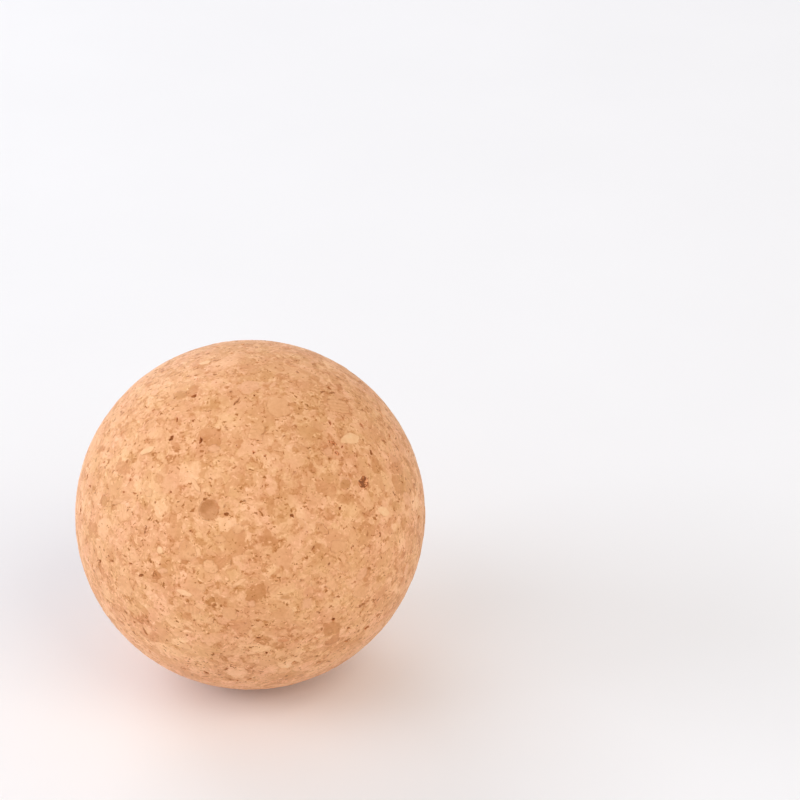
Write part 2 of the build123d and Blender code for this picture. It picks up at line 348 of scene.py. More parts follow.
def rim_loop(tris):
    """The corners round the open edge of some triangles, in order."""
    edges = {}
    for first, second, third in tris:
        for edge in ((first, second), (second, third), (third, first)):
            key = (min(edge), max(edge))
            edges[key] = edges.get(key, 0) + 1
    rim = [key for key, uses in edges.items() if uses == 1]
    neighbours = {}
    for first, second in rim:
        neighbours.setdefault(first, []).append(second)
        neighbours.setdefault(second, []).append(first)
    start = rim[0][0]
    loop, previous, current = [start], None, start
    while True:
        onward = [corner for corner in neighbours[current] if corner != previous]
        if not onward:
            break
        previous, current = current, onward[0]
        if current == start or len(loop) > len(rim):
            break
        loop.append(current)
    return loop


def cad_solids(node):
    """Each separate solid of a CAD node."""
    points, tris = welded(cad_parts[node].data)
    solid_of = connected(len(points), tris)
    radii = np.linalg.norm(points, axis=1)
    solids = []
    for number in np.unique(solid_of[tris[:, 0]]):
        mine = tris[solid_of[tris[:, 0]] == number]
        corners = points[mine]
        normals = np.cross(corners[:, 1] - corners[:, 0], corners[:, 2] - corners[:, 0])
        lengths = np.linalg.norm(normals, axis=1)
        middles = corners.mean(1)
        facing = (np.einsum("ij,ij->i", normals, middles)
                  / (lengths * np.linalg.norm(middles, axis=1) + 1e-12))
        on_ball = (radii[mine].min(1) > RADIUS - 0.02) & (np.abs(facing) > 0.7)
        rim = unit(points[rim_loop(mine[on_ball])])
        solids.append(Solid(rim, RADIUS - radii[np.unique(mine)].min()))
    return solids


# ------------------------------------------------------------------ flat outlines
class Plane(NamedTuple):
    """Flat coordinates about a direction of the ball."""
    outward: np.ndarray
    east: np.ndarray
    north: np.ndarray


def plane_at(outward):
    east = np.cross([0.0, 0.0, 1.0], outward)
    if np.linalg.norm(east) < 1e-3:
        east = np.array([1.0, 0.0, 0.0])
    east = unit(east)
    return Plane(outward, east, np.cross(outward, east))


def flatten(directions, plane):
    """Unit vectors to flat coordinates."""
    return np.stack([directions @ plane.east, directions @ plane.north], 1) * RADIUS


def directions_of(spots, plane):
    """Flat coordinates back to unit vectors."""
    spots = np.asarray(spots) / RADIUS
    rise = np.sqrt(np.maximum(1e-6, 1 - (spots**2).sum(1)))
    return spots[:, :1] * plane.east + spots[:, 1:2] * plane.north + rise[:, None] * plane.outward


def following(loop):
    return np.roll(loop, -1, axis=0)


def preceding(loop):
    return np.roll(loop, 1, axis=0)


def resample(loop, spacing):
    lengths = np.linalg.norm(following(loop) - loop, axis=1)
    total = lengths.sum()
    count = max(10, int(round(total / spacing)))
    travelled = np.concatenate([[0], np.cumsum(lengths)])
    wanted = np.arange(count) * total / count
    closed = np.vstack([loop, loop[:1]])
    return np.stack([np.interp(wanted, travelled, closed[:, i]) for i in (0, 1)], 1)


def cut_corners(loop):
    after = following(loop)
    return np.stack([loop * 0.75 + after * 0.25, loop * 0.25 + after * 0.75], 1).reshape(-1, 2)


def grow(loop, distance):
    """A closed loop, anticlockwise, moved outwards."""
    along = unit(following(loop) - preceding(loop))
    outwards = np.stack([along[:, 1], -along[:, 0]], 1)
    return loop + outwards * np.reshape(distance, (-1, 1))


def inside(loop, points):
    """Which points lie inside a loop."""
    x, y = points[:, 0][:, None], points[:, 1][:, None]
    x0, y0 = loop[:, 0], loop[:, 1]
    x1, y1 = np.roll(x0, -1), np.roll(y0, -1)
    spans = (y0 > y) != (y1 > y)
    crossed = spans & (x < (x1 - x0) * (y - y0) / (y1 - y0 + 1e-12) + x0)
    return crossed.sum(1) % 2 == 1


def rim_distance(loop, points):
    side = following(loop) - loop
    along = ((points[:, None] - loop) * side).sum(2) / ((side**2).sum(1) + 1e-12)
    along = np.clip(along, 0, 1)
    nearest = loop + along[..., None] * side
    return np.linalg.norm(points[:, None] - nearest, axis=2).min(1)


def flat_cross(first, second):
    return first[..., 0] * second[..., 1] - first[..., 1] * second[..., 0]


def uncross(loop):
    """The outline without the small loops it makes where it crosses itself."""
    while True:
        count = len(loop)
        side = following(loop) - loop
        apart = loop[None] - loop[:, None]
        spread = flat_cross(side[:, None], side[None])
        spread = np.where(np.abs(spread) < 1e-12, np.inf, spread)
        along_first = flat_cross(apart, side[None]) / spread
        along_second = flat_cross(apart, side[:, None]) / spread
        hit = np.triu((along_first > 0) & (along_first < 1)
                      & (along_second > 0) & (along_second < 1), 2)
        hit[0, count - 1] = False
        pairs = zip(*(index.tolist() for index in np.nonzero(hit)))
        found = sorted((min(j - i, count - (j - i)), i, j) for i, j in pairs)
        if not found:
            return loop
        _, i, j = found[0]
        crossing = loop[i] + side[i] * along_first[i, j]
        if j - i <= count - (j - i):
            loop = np.vstack([loop[: i + 1], crossing, loop[j + 1 :]])
        else:
            loop = np.vstack([crossing, loop[i + 1 : j + 1]])


def fill(loop, spacing, rng):
    """The outline filled with triangles: points, triangles, and whether the triangles end
    exactly at the outline."""
    low, high = loop.min(0) - spacing, loop.max(0) + spacing
    columns = np.arange(low[0], high[0], spacing)
    rows = np.arange(low[1], high[1], spacing * 0.87)
    grid = np.array([(x + (spacing / 2 if j % 2 else 0), y)
                     for j, y in enumerate(rows) for x in columns])
    grid = grid + rng.uniform(-0.12, 0.12, grid.shape) * spacing
    grid = grid[inside(loop, grid)]
    if len(grid):
        grid = grid[rim_distance(loop, grid) > spacing * 0.6]
    count = len(loop)
    points = np.vstack([loop, grid]) if len(grid) else loop
    sides = [(i, (i + 1) % count) for i in range(count)]
    result = delaunay_2d_cdt([Vector(point) for point in points], sides,
                             [list(range(count))], 1, 1e-5)
    spots = np.array([tuple(spot) for spot in result[0]])
    tris = [tuple(face) for face in result[2]]
    uses = {}
    for face in tris:
        for i, j in zip(face, face[1:] + face[:1]):
            key = (min(i, j), max(i, j))
            uses[key] = uses.get(key, 0) + 1
    rim = {(min(side), max(side)) for side in sides}
    open_edges = {edge for edge, number in uses.items() if number == 1}
    whole = len(spots) == len(points) and open_edges == rim and max(uses.values()) == 2
    return spots, tris, whole


# ------------------------------------------------------------------ granules and their pockets
class Shape(NamedTuple):
    wobble: float                 # of the outline
    level: tuple                  # lowest and highest height of the face over the ball
    dome: float                   # extra height in the middle
    edge: float                   # rounding at the rim
    lines: tuple                  # growth lines' pitch and height, or None
    tear: float                   # how much of the edge is torn away, 0..1


SHAPES = {
    # node: wobble, level, dome, edge, lines, tear
    "light_tan_granules": Shape(0.05, (-0.030, 0.000), 0.012, 0.030, None, 1.0),
    "honey_granules": Shape(0.05, (-0.030, 0.000), 0.012, 0.030, None, 1.0),
    "pink_tan_granules": Shape(0.05, (-0.035, 0.000), 0.012, 0.030, None, 1.0),
    "large_smooth_granules": Shape(0.06, (-0.020, 0.000), 0.010, 0.030, None, 1.0),
    "amber_brown_granules": Shape(0.05, (-0.060, -0.015), 0.010, 0.030, None, 1.0),
    "olive_brown_granules": Shape(0.05, (-0.070, -0.020), 0.010, 0.030, None, 1.0),
    "striated_flakes": Shape(0.04, (-0.030, -0.005), 0.006, 0.025, (0.42, 0.012), 0.15),
    "pale_cream_flakes": Shape(0.04, (-0.015, 0.000), 0.010, 0.030, None, 0.15),
    "pale_slivers": Shape(0.04, (-0.020, 0.000), 0.008, 0.025, None, 0.15),
    "red_brown_slabs": Shape(0.04, (-0.050, -0.020), 0.008, 0.030, None, 1.0),
    "red_bark_flecks": Shape(0.04, (-0.110, -0.060), 0.020, 0.040, None, 0.15),
    "round_knot_granule": Shape(0.06, (-0.060, -0.050), 0.006, 0.035, None, 0.15),
    "dark_bark_specks": Shape(0.07, (-0.090, -0.030), 0.020, 0.035, None, 1.0),
}
SPACING, SPECK_SPACING = 0.14, 0.085      # between points of a granule's face


class Granule(NamedTuple):
    verts: np.ndarray
    faces: list
    plane: Plane
    loop: np.ndarray              # its flat outline
    spots: np.ndarray             # each corner's place when the granule is unrolled flat
    rims: np.ndarray              # each corner's distance from the rim, at most 1
    pocket: tuple                 # corners and faces of the solid that cuts its pocket


def torn_outline(solid, shape, spacing, plane):
    """The solid's outline, softened and torn, and the size of the CAD outline."""
    loop = flatten(solid.rim, plane)
    area = 0.5 * (loop[:, 0] * np.roll(loop[:, 1], -1) - np.roll(loop[:, 0], -1) * loop[:, 1]).sum()
    if area < 0:
        loop = loop[::-1]
    size = math.sqrt(abs(area))
    loop = resample(cut_corners(resample(loop, max(0.20, size * 0.16))), spacing)
    places = directions_of(loop, plane) * RADIUS
    slim = 2 * abs(area) / np.linalg.norm(following(loop) - loop, axis=1).sum()
    broad, fine = (0.55, 1.5) if size > 1.0 else (1.9, 4.2)
    bite = np.clip(smooth_noise(places, broad, seed=17) + 0.15, 0.0, 1.0) * min(0.42, 0.34 * slim)
    nibble = np.clip(smooth_noise(places, fine, seed=19), 0.0, 1.0) * min(0.22, 0.22 * slim)
    bite = (bite + nibble) * shape.tear
    push = (smooth_noise(places, scale=1.15, seed=3) * shape.wobble
            + smooth_noise(places, scale=3.4, seed=5) * shape.wobble * 0.6)
    loop = grow(loop, -shape.wobble * 0.35 * shape.tear + push - bite)
    return uncross(resample(uncross(loop), spacing)), size


def filled_outline(loop, spacing, rng):
    """The outline and its triangles, softened until the face closes against its walls."""
    spots, tris, whole = fill(loop, spacing, rng)
    for turn in range(6):
        if whole:
            break
        softened = (preceding(loop) + 2 * loop + following(loop)) / 4
        loop = uncross(resample(softened, spacing))
        spots, tris, whole = fill(loop, spacing, np.random.default_rng(turn))
    assert whole, "a granule's face doesn't close against its walls"
    return loop, spots, tris


def face_heights(spots, places, away, size, level, shape, rng):
    """Height of a granule's face over the ball at each spot, always a little below it."""
    height = level + shape.dome * np.clip(away / max(0.4 * size, 0.2), 0, 1) ** 0.8
    height = height - shape.edge * (1 - np.clip(away / (shape.edge * 2.2), 0, 1)) ** 2
    height = (height + smooth_noise(places, scale=0.9, seed=11) * 0.018
              + smooth_noise(places, scale=3.1, seed=12) * 0.010)
    height = height + spots @ rng.normal(0, 0.010, 2)
    if shape.lines is not None:
        pitch, line_height = shape.lines
        angle = rng.uniform(0, math.pi)
        along = spots @ np.array([math.cos(angle), math.sin(angle)])
        waver = smooth_noise(places, scale=0.7, seed=9) * 0.5
        wave = np.sin(2 * math.pi * (along / pitch + waver))
        height = height + wave * line_height * np.clip(away / 0.3, 0, 1)
    return np.minimum(height, -0.002)


def wall_rings(loop, outer, rim_levels, depth, end, surface, plane):
    """Rings of corners down a wall. Those at the rim follow the outer loop; below, the wall
    bulges and then closes in, to end at the depth plus end."""
    outward, east, north = plane
    rings = [directions_of(outer, plane) * (surface + z) for z in rim_levels]
    for z, width in ((-0.42 * depth, 1.05), (-0.80 * depth, 0.78), (-depth + end, 0.50)):
        ring = []
        for spot, shift in zip(loop, outer - loop):
            bend = 1 - math.sqrt(max(0.0, 1 - (spot @ spot) / RADIUS**2))
            corner = (outward * (RADIUS + z - bend * RADIUS * 0.6)
                      + (east * spot[0] + north * spot[1]) * width)
            ring.append(corner + east * shift[0] + north * shift[1])
        rings.append(np.array(ring))
    return rings


def band(upper, lower, count):
    """Triangles between two rings, given the index each starts from."""
    faces = []
    for i in range(count):
        j = (i + 1) % count
        faces.append((upper + i, lower + i, lower + j))
        faces.append((upper + i, lower + j, upper + j))
    return faces


def build_pocket(loop, depth, plane):
    """The granule's walls moved out by the gap, and open past the skin."""
    count = len(loop)
    rings = wall_rings(loop, grow(loop, POCKET_GAP), (0.40, -0.06), depth, -0.03, RADIUS, plane)
    faces = []
    for turn in range(1, len(rings)):
        faces += band((turn - 1) * count, turn * count, count)
    last = (len(rings) - 1) * count
    top_middle = len(rings) * count
    sides = [(i, (i + 1) % count) for i in range(count)]
    faces += [(i, j, top_middle) for i, j in sides]
    faces += [(top_middle + 1, last + j, last + i) for i, j in sides]
    middles = [np.mean(rings[0], 0), np.mean(rings[-1], 0)]
    return np.vstack(rings + middles), faces


def build_granule(solid, shape, spacing, rng):
    """The finished granule for one CAD solid: relief on its face, and walls like the CAD's."""
    level = rng.uniform(*shape.level)
    plane = plane_at(unit(solid.rim.mean(0)))
    loop, size = torn_outline(solid, shape, spacing, plane)
    loop, spots, tris = filled_outline(loop, spacing, rng)
    count = len(loop)
    away = rim_distance(loop, spots)
    directions = directions_of(spots, plane)
    height = face_heights(spots, directions * RADIUS, away, size, level, shape, rng)
    top = directions * (RADIUS + height)[:, None]

    # the face's triangles run anticlockwise seen from outside
    first, second, third = (top[i] for i in tris[0])
    if np.dot(np.cross(second - first, third - first), plane.outward) < 0:
        tris = [(face[0], face[2], face[1]) for face in tris]

    surface = RADIUS + float(np.min(height[:count]))
    rings = wall_rings(loop, loop, (-0.05,), solid.depth, 0.03, surface, plane)
    faces = list(tris)
    unrolled = [spots]
    upper = 0
    for turn in range(len(rings)):
        lower = len(top) + turn * count
        faces += band(upper, lower, count)
        upper = lower
        unrolled.append(loop * (1.06 + 0.05 * turn) + unit(loop) * (0.06 + 0.06 * turn))
    middle = upper + count
    faces += [(upper + i, middle, upper + (i + 1) % count) for i in range(count)]
    return Granule(
        verts=np.vstack([top, *rings, np.mean(rings[-1], 0)]),
        faces=faces,
        plane=plane,
        loop=loop,
        spots=np.vstack([*unrolled, (0.0, 0.0)]),
        rims=np.concatenate([np.minimum(away, 1.0), np.zeros(len(rings) * count + 1)]),
        pocket=build_pocket(loop, solid.depth, plane),
    )


def build_groups():
    groups = {}
    for number, (node, shape) in enumerate(SHAPES.items()):
        rng = np.random.default_rng(SEED * 100 + number)
        spacing = SPECK_SPACING if node == "dark_bark_specks" else SPACING
        groups[node] = [build_granule(solid, shape, spacing, rng) for solid in cad_solids(node)]
    return groups


def join(parts, name):
    """One object from parts of (corners, faces), and each corner's part number."""
    verts, faces, part_of = [], [], []
    for number, (part_verts, part_faces) in enumerate(parts):
        base = len(verts)
        verts.extend(part_verts)
        faces.extend([tuple(base + i for i in face) for face in part_faces])
        part_of.extend([number] * len(part_verts))
    return new_mesh(name, verts, faces), np.array(part_of)


# ------------------------------------------------------------------ the body's skin
def blown_cube(quads):
    """Closed sphere of near-even triangles: the six faces of a cube pushed out."""
    steps = np.tan((np.arange(quads + 1) / quads * 2 - 1) * math.pi / 4)
    index, verts, faces = {}, [], []

    def vert_index(point):
        key = tuple(np.round(point, 7))
        if key not in index:
            index[key] = len(verts)
            verts.append(point)
        return index[key]

    for axis in range(3):
        for sign in (1.0, -1.0):
            ids = np.empty((quads + 1, quads + 1), int)
            for i in range(quads + 1):
                for j in range(quads + 1):
                    point = [0.0, 0.0, 0.0]
                    point[axis] = sign
                    point[(axis + 1) % 3] = steps[i] * sign
                    point[(axis + 2) % 3] = steps[j]
                    ids[i, j] = vert_index(point)
            for i in range(quads):
                for j in range(quads):
                    near, right = ids[i, j], ids[i + 1, j]
                    far, left = ids[i + 1, j + 1], ids[i, j + 1]
                    if (i + j) % 2:
                        faces += [(near, right, far), (near, far, left)]
                    else:
                        faces += [(near, right, left), (right, far, left)]
    return unit(np.array(verts)), faces


def build_skin():
    directions, faces = blown_cube(CUBE_QUADS)
    height, _ = evaluate_field(directions * RADIUS)
    height = np.minimum(height, -0.001)
    return new_mesh(BODY + "_skin", directions * (RADIUS + height)[:, None], faces)


PORE_TRIES, MOST_PORES = 9000, 430


def build_pore(direction, length, width, angle, number):
    """An irregular, slightly bent ball that cuts one pore."""
    _, east, north = plane_at(direction)
    along = east * math.cos(angle) + north * math.sin(angle)
    across = north * math.cos(angle) - east * math.sin(angle)
    depth = min(0.38, 0.5 * width + 0.10)
    offset = number * 3.7
    ball = bmesh.new()
    bmesh.ops.create_icosphere(ball, subdivisions=2, radius=1.0)
    verts = []
    for vert in ball.verts:
        point = np.array(vert.co)
        lump = (1.0 + 0.55 * noise.noise(Vector(point * 1.5) + Vector((offset, 0, 0)))
                + 0.25 * noise.noise(Vector(point * 3.1) + Vector((0, offset, 0))))
        x, y, z = point * lump
        bend = 0.18 * x * x
        verts.append(direction * (RADIUS - 0.03 + z * depth) + along * (x * length / 2)
                     + across * ((y + bend) * width / 2))
    faces = [tuple(vert.index for vert in face.verts) for face in ball.faces]
    ball.free()
    return verts, faces


def build_pores(granules):
    """Small open cavities, most of them where granules of the mosaic meet."""
    rng = np.random.default_rng(SEED)
    candidates = unit(rng.normal(size=(PORE_TRIES, 3)))
    _, edges = evaluate_field(candidates * RADIUS)
    nearby = KDTree(len(granules))
    for i, granule in enumerate(granules):
        nearby.insert(Vector(granule.plane.outward * RADIUS), i)
    nearby.balance()

    def clear_of_granules(direction, gap):
        for _, i, distance in nearby.find_n(Vector(direction * RADIUS), 5):
            loop = granules[i].loop
            if distance > np.abs(loop).max() * 1.5 + gap:
                continue
            spot = flatten(direction[None], granules[i].plane)
            if inside(loop, spot)[0] or rim_distance(loop, spot)[0] < gap:
                return False
        return True

    pores, placed = [], []
    for direction, edge in zip(candidates, edges):
        if len(pores) >= MOST_PORES:
            break
        if edge > 0.12 and rng.random() > 0.08:
            continue
        place = direction * RADIUS
        crowding = noise.noise(Vector(place * 0.16)) + 0.35 * noise.noise(Vector(place * 0.5))
        if crowding < rng.uniform(-0.45, 0.30):
            continue
        length = 0.26 + 0.80 * rng.random() ** 2.6
        width = max(0.15, length * rng.uniform(0.28, 0.75))
        if not clear_of_granules(direction, 0.5 * length + 0.10):
            continue
        if placed:
            nearest = np.min(np.linalg.norm(np.array(placed) - direction, axis=1)) * RADIUS
            if nearest < 0.9 * length + 0.45:
                continue
        angle = rng.uniform(0, math.pi)
        pores.append(build_pore(direction, length, width, angle, len(pores)))
        placed.append(direction)
    return pores


def cut_away(body, parts):
    """Cuts closed parts out of the body."""
    cutter, _ = join(parts, "pocket_cutter")
    cut = body.modifiers.new("pockets", "BOOLEAN")
    cut.operation = "DIFFERENCE"
    cut.solver = "MANIFOLD"
    cut.object = cutter
    depsgraph = bpy.context.evaluated_depsgraph_get()
    mesh = bpy.data.meshes.new_from_object(body.evaluated_get(depsgraph), depsgraph=depsgraph)
    body.modifiers.clear()
    body.data = mesh
    mesh.name = BODY + "_skin"
    bpy.data.objects.remove(cutter)


# ------------------------------------------------------------------ UV maps
def corner_arrays(mesh):
    """For each face corner, its vertex and its face; and the number of faces."""
    corners = np.empty(len(mesh.loops), np.int32)
    mesh.loops.foreach_get("vertex_index", corners)
    sizes = np.empty(len(mesh.polygons), np.int32)
    mesh.polygons.foreach_get("loop_total", sizes)
    return corners, np.repeat(np.arange(len(sizes)), sizes), len(sizes)


def write_uv(mesh, corner_uv):
    layer = mesh.uv_layers.new(name="OFBake")
    layer.data.foreach_set("uv", corner_uv.astype(np.float32).ravel())


def cube_layout(mesh):
    """Each face goes to one of six squares, by the side of the ball it is on."""
    corners, face, face_count = corner_arrays(mesh)
    points = unit(verts_of(mesh))[corners]
    middles = np.zeros((face_count, 3))
    np.add.at(middles, face, points)
    face_axis = np.abs(middles).argmax(1)
    face_sign = np.sign(middles[np.arange(face_count), face_axis])
    side = (face_axis * 2 + (face_sign < 0)).astype(int)[face]
    axis, sign = face_axis[face], face_sign[face]
    rows = np.arange(len(points))
    toward = np.maximum(points[rows, axis] * sign, 0.2)
    across = np.arctan(points[rows, (axis + 1) % 3] * sign / toward) / (math.pi / 4)
    up = np.arctan(points[rows, (axis + 2) % 3] / toward) / (math.pi / 4)
    across, up = (np.clip(part * 0.965, -1, 1) for part in (across, up))
    write_uv(mesh, np.stack([((side % 3) + (across + 1) / 2) / 3,
                             ((side // 3) + (up + 1) / 2) / 2], 1))


def granule_layout(mesh, group):
    """Each granule has a square: its face in the middle, its walls unrolled round that, its
    underside in a corner."""
    columns = math.ceil(math.sqrt(len(group)))
    grid = [columns, math.ceil(len(group) / columns)]
    reach = max(np.abs(granule.spots).max() for granule in group)
    vert_uv, under_uv, under_faces = [], [], []
    faces_done = 0
    for i, granule in enumerate(group):
        cell = np.array([i % columns, i // columns], float)
        vert_uv.append((cell + (granule.spots / reach * 0.5 * 0.97 + 0.5)) / grid)
        under_uv.append((cell + 0.02 + (granule.spots / reach * 0.5 + 0.5) * 0.05) / grid)
        faces_done += len(granule.faces)
        under_faces.append((faces_done - len(granule.loop), faces_done))
    vert_uv, under_uv = np.vstack(vert_uv), np.vstack(under_uv)
    corners, face, _ = corner_arrays(mesh)
    corner_uv = vert_uv[corners]
    for first, end in under_faces:
        under = (face >= first) & (face < end)
        corner_uv[under] = under_uv[corners[under]]
    write_uv(mesh, corner_uv)


def smooth_shading(mesh, sharp_angle):
    mesh.shade_smooth()
    mesh.set_sharp_from_angle(angle=math.radians(sharp_angle))


# ------------------------------------------------------------------ the pieces
def build_body(groups):
    body = build_skin()
    granules = [granule for group in groups.values() for granule in group]
    pores = build_pores(granules)
    cut_away(body, [granule.pocket for granule in granules] + pores)
    cube_layout(body.data)
    smooth_shading(body.data, sharp_angle=38)
    return body


def build_group(node, group):
    """One object of all a node's granules, with what its material reads from each."""
    piece, granule_of = join([(granule.verts, granule.faces) for granule in group], node + "_cut")
    mesh = piece.data
    edit = bmesh.new()
    edit.from_mesh(mesh)
    bmesh.ops.recalc_face_normals(edit, faces=edit.faces)
    edit.to_mesh(mesh)
    edit.free()
    rng = np.random.default_rng(SEED + sum(map(ord, node)))
    attributes = {"chip_tone": rng.random(len(group))[granule_of]}
    attributes["chip_hue"] = rng.random(len(group))[granule_of]
    attributes["chip_rim"] = np.concatenate([granule.rims for granule in group])
    for name, values in attributes.items():
        attribute = mesh.attributes.new(name, "FLOAT", "POINT")
        attribute.data.foreach_set("value", values.astype(np.float32))
    granule_layout(mesh, group)
    smooth_shading(mesh, sharp_angle=50)
    return piece


groups = build_groups()
pieces = {BODY: build_body(groups)}
for node, group in groups.items():
    pieces[node] = build_group(node, group)


# ------------------------------------------------------------------ cork colours
# Tones are offsets from the ball's middle tone, in steps of sRGB 0-255.
MIDDLE_TONE = (234, 173, 124)     # as it looks under the studio light
VEIL = 0.012                      # white added by the surface's sheen and gloss
LIGHT_STRENGTH = 1.005            # at the middle of the ball
LOWEST, HIGHEST = -120.0, 40.0    # offsets at the ends of SHADES
# how cork looks from LOWEST to HIGHEST, in even steps
SHADES = [(118, 66, 30), (138, 82, 40), (159, 98, 51), (180, 114, 63), (199, 132, 80),
          (217, 152, 101), MIDDLE_TONE, (251, 194, 147), (255, 214, 170)]
# spread of the mosaic's tones: place 0..1, offset
PALETTE = [(0.00, -50), (0.06, -33), (0.18, -17), (0.40, -4), (0.62, 5), (0.84, 12), (1.00, 24)]


def linear(level):
    """sRGB 0-255 to linear."""
    level = level / 255
    return level / 12.92 if level <= 0.04045 else ((level + 0.055) / 1.055) ** 2.4


def base_colour(seen):
    """The base colour that looks like a given sRGB colour under the light."""
    return tuple(max(0.004, (linear(level) - VEIL) / LIGHT_STRENGTH) for level in seen)


def cork(offset, shift=(0, 0, 0)):
    """Base colour of cork lighter or darker than the middle tone, and shifted in hue."""
    return base_colour([min(255, max(4, level + offset + change))
                        for level, change in zip(MIDDLE_TONE, shift)])


def shade(nodes, offset):
    """Cork's colour for a field of offsets: darker and paler without turning grey or red."""
    place = nodes.math("DIVIDE", offset - LOWEST_SHIFT, HIGHEST - LOWEST, clamp=True) \
        if False else nodes.math("DIVIDE", offset + -LOWEST, HIGHEST - LOWEST, clamp=True)
    return nodes.ramp(place, [(i / 8, base_colour(seen)) for i, seen in enumerate(SHADES)])


# ------------------------------------------------------------------ materials
def new_material(name):
    """A material, its node writer, its surface node, and the place in mm."""
    material = bpy.data.materials.new(name)
    material.use_nodes = True
    material.node_tree.nodes.clear()
    nodes = NodeWriter(material.node_tree)
    output = nodes.node("ShaderNodeOutputMaterial")
    surface = nodes.node("ShaderNodeBsdfPrincipled")
    nodes.put(output.inputs[0], surface.outputs[0])
    coords = nodes.node("ShaderNodeTexCoord").outputs["Object"]
    return material, nodes, surface, nodes.vec("SCALE", coords, scale=1 / MILLIMETRE)


def finish_cork(nodes, surface, colour, height, rough, sheen):
    settings = {
        "Base Color": colour, "Roughness": rough, "IOR": 1.38, "Specular IOR Level": 0.48,
        "Sheen Weight": sheen, "Sheen Roughness": 0.45, "Sheen Tint": (1.0, 0.96, 0.94, 1.0),
    }
    for name, value in settings.items():
        nodes.put(surface.inputs[name], value)
    bump = nodes.node("ShaderNodeBump")
    bump.inputs["Strength"].default_value = 1.0
    bump.inputs["Distance"].default_value = MILLIMETRE
    nodes.put(bump.inputs["Height"], height)
    nodes.put(surface.inputs["Normal"], bump.outputs[0])


def grain(nodes, place):
    """Fine unevenness shared by every piece: an offset of tone, and a height."""
    coarse = nodes.noise(place, scale=2.1, detail=3.0, rough=0.55)
    fine = nodes.noise(place, scale=6.5, detail=3.0, rough=0.6)
    return (coarse - 0.5) * 28.0 + (fine - 0.5) * 13.0, coarse * 0.020 + fine * 0.008


def specks(nodes, place, space, scale, keep, size, seed):
    """Small long specks: 1 inside one and 0 elsewhere, and a random value for each. Cells
    whose own value is under keep have none."""
    space = nodes.warp(space, place, amount=0.36, scale=3.0, detail=1.0, rough=0.5)
    space = nodes.vec("MULTIPLY", space, (1.0, 2.1, 1.3))
    space = nodes.vec("ADD", space, (seed, seed * 0.7, -seed))
    distance, colour = nodes.cells(space, scale)
    red, green, blue = nodes.split(colour)
    present = green > keep
    edge = (0.45 + red) * size
    blot = nodes.step(distance, between=(edge * 0.55, edge), to=(1.0, 0.0))
    return blot * present, blue


def mosaic_tone(nodes, place, granule_red, edge):
    """Tone of the mosaic: each granule's own, blurred into patches towards its edge."""
    drift = nodes.noise(place, scale=0.09, detail=2.0, rough=0.5)
    blotch = nodes.noise(place, scale=0.95, detail=3.0, rough=0.62)
    mottle = nodes.noise(place, scale=2.3, detail=3.0, rough=0.60)
    patches = (nodes.step(blotch, between=(0.30, 0.70), smooth=False) * 0.55
               + nodes.step(mottle, between=(0.30, 0.70), smooth=False) * 0.45)
    hold = nodes.step(edge + (mottle - 0.5) * 0.22, between=(-0.02, 0.20), to=(0.20, 0.82))
    tone = nodes.mix(hold, patches, granule_red)
    tone = nodes.math("ADD", tone, (drift - 0.5) * 0.35, clamp=True)
    offset = nodes.curve(tone, PALETTE, low=-60.0, high=40.0)
    broad = nodes.noise(place, scale=0.30, detail=2.0, rough=0.6)
    return offset + nodes.step(broad, between=(0.30, 0.62), to=(-9.0, 4.0), smooth=False)


def growth_lines(nodes, place, granule_colour, space, granule_red):
    """Lines in some granules of the mosaic, each set its own way."""
    way = nodes.vec("NORMALIZE", nodes.centred(granule_colour))
    run = nodes.vec("DOT_PRODUCT", space, way) * 11.0
    waver = nodes.noise(place, scale=1.4, detail=2.0, rough=0.5)
    lines = nodes.math("SINE", run + waver * 5.0)
    lined = nodes.math("FRACT", granule_red * 7.13) > 0.55
    return lines * lined * 3.2


def mosaic_specks(nodes, place, space, offset):
    """Pale crumbs, then brown streaks, then two sizes of dark specks, over the tone."""
    crumb, _ = specks(nodes, place, space, scale=1.5, keep=0.82, size=0.44, seed=27.0)
    offset = nodes.mix(crumb * 0.68, offset, 28.0)
    large, depth = specks(nodes, place, space, scale=1.05, keep=0.80, size=0.36, seed=3.0)
    small, _ = specks(nodes, place, space, scale=1.9, keep=0.80, size=0.42, seed=11.0)
    dark = nodes.mix(depth, -94.0, -42.0)
    streak, _ = specks(nodes, place, space, scale=0.62, keep=0.80, size=0.27, seed=41.0)
    offset = nodes.mix(streak * 0.55, offset, -36.0)
    offset = nodes.mix(large * 0.80, offset, dark)
    return nodes.mix(small * 0.60, offset, dark)


